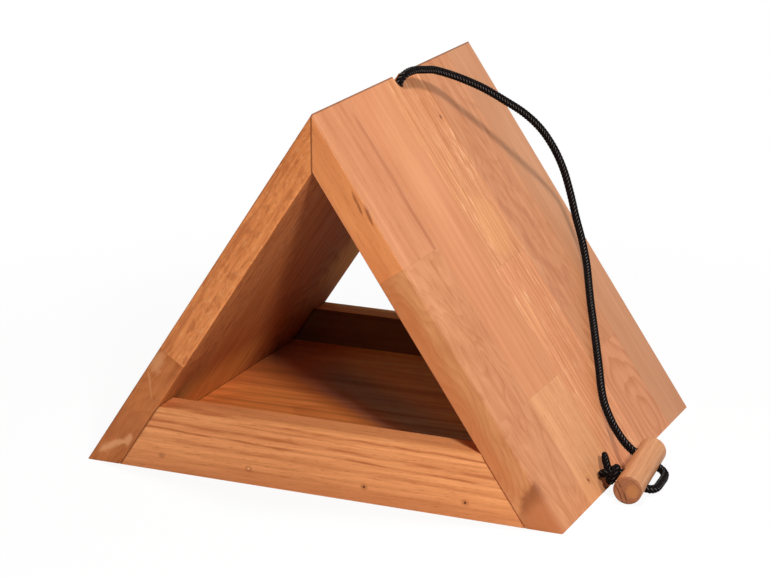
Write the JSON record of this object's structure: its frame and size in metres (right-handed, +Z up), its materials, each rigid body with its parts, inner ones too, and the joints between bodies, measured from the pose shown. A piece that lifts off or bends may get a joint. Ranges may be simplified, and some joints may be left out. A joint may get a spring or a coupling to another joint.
{
  "type": "bird feeder",
  "caption": "Open-ended triangular wooden bird feeder: mitred roof boards glued up from staves, a lipped seed tray, and a braided hanging cord with a wooden toggle.",
  "frame": {"origin": "under the middle of the house, on the surface that it stands on", "axes": "+X to the right across the triangular front, +Y from the front opening to the back opening, +Z up to the ridge"},
  "size_m": [0.3566, 0.25, 0.2437],
  "materials": {
    "roof_wood_pale": "oiled hardwood, fine straight grain, satin",
    "roof_wood_warm": "oiled hardwood, fine straight grain, satin",
    "roof_wood_brown": "oiled hardwood with arched grain, satin",
    "lip_wood": "oiled hardwood, grain along the lip, satin",
    "floor_wood": "oiled hardwood, grain across the tray, satin",
    "toggle_wood": "turned hardwood with open end grain, satin",
    "cord": "tightly braided black synthetic cord"
  },
  "bodies": {
    "root": {"roof_right_stave_1_upper": "roof_wood_brown", "roof_right_stave_1_lower": "roof_wood_warm", "roof_right_stave_2_upper": "roof_wood_warm", "roof_right_stave_2_lower": "roof_wood_pale", "roof_right_stave_3_upper": "roof_wood_pale", "roof_right_stave_3_lower": "roof_wood_warm", "roof_right_stave_4_upper": "roof_wood_brown", "roof_right_stave_4_lower": "roof_wood_pale", "roof_right_stave_5": "roof_wood_warm", "roof_left_stave_1_upper": "roof_wood_warm", "roof_left_stave_1_lower": "roof_wood_brown", "roof_left_stave_2_upper": "roof_wood_pale", "roof_left_stave_2_lower": "roof_wood_warm", "roof_left_stave_3_upper": "roof_wood_brown", "roof_left_stave_3_lower": "roof_wood_warm", "roof_left_stave_4_upper": "roof_wood_warm", "roof_left_stave_4_lower": "roof_wood_pale", "roof_left_stave_5": "roof_wood_warm", "front_lip": "lip_wood", "back_lip": "lip_wood", "floor_stave_1": "floor_wood", "floor_stave_2": "floor_wood", "floor_stave_3": "floor_wood", "floor_stave_4": "floor_wood", "ridge_knot": "cord", "hanging_cord": "cord", "toggle": "toggle_wood", "toggle_knot": "cord"}
  },
  "joints": []
}
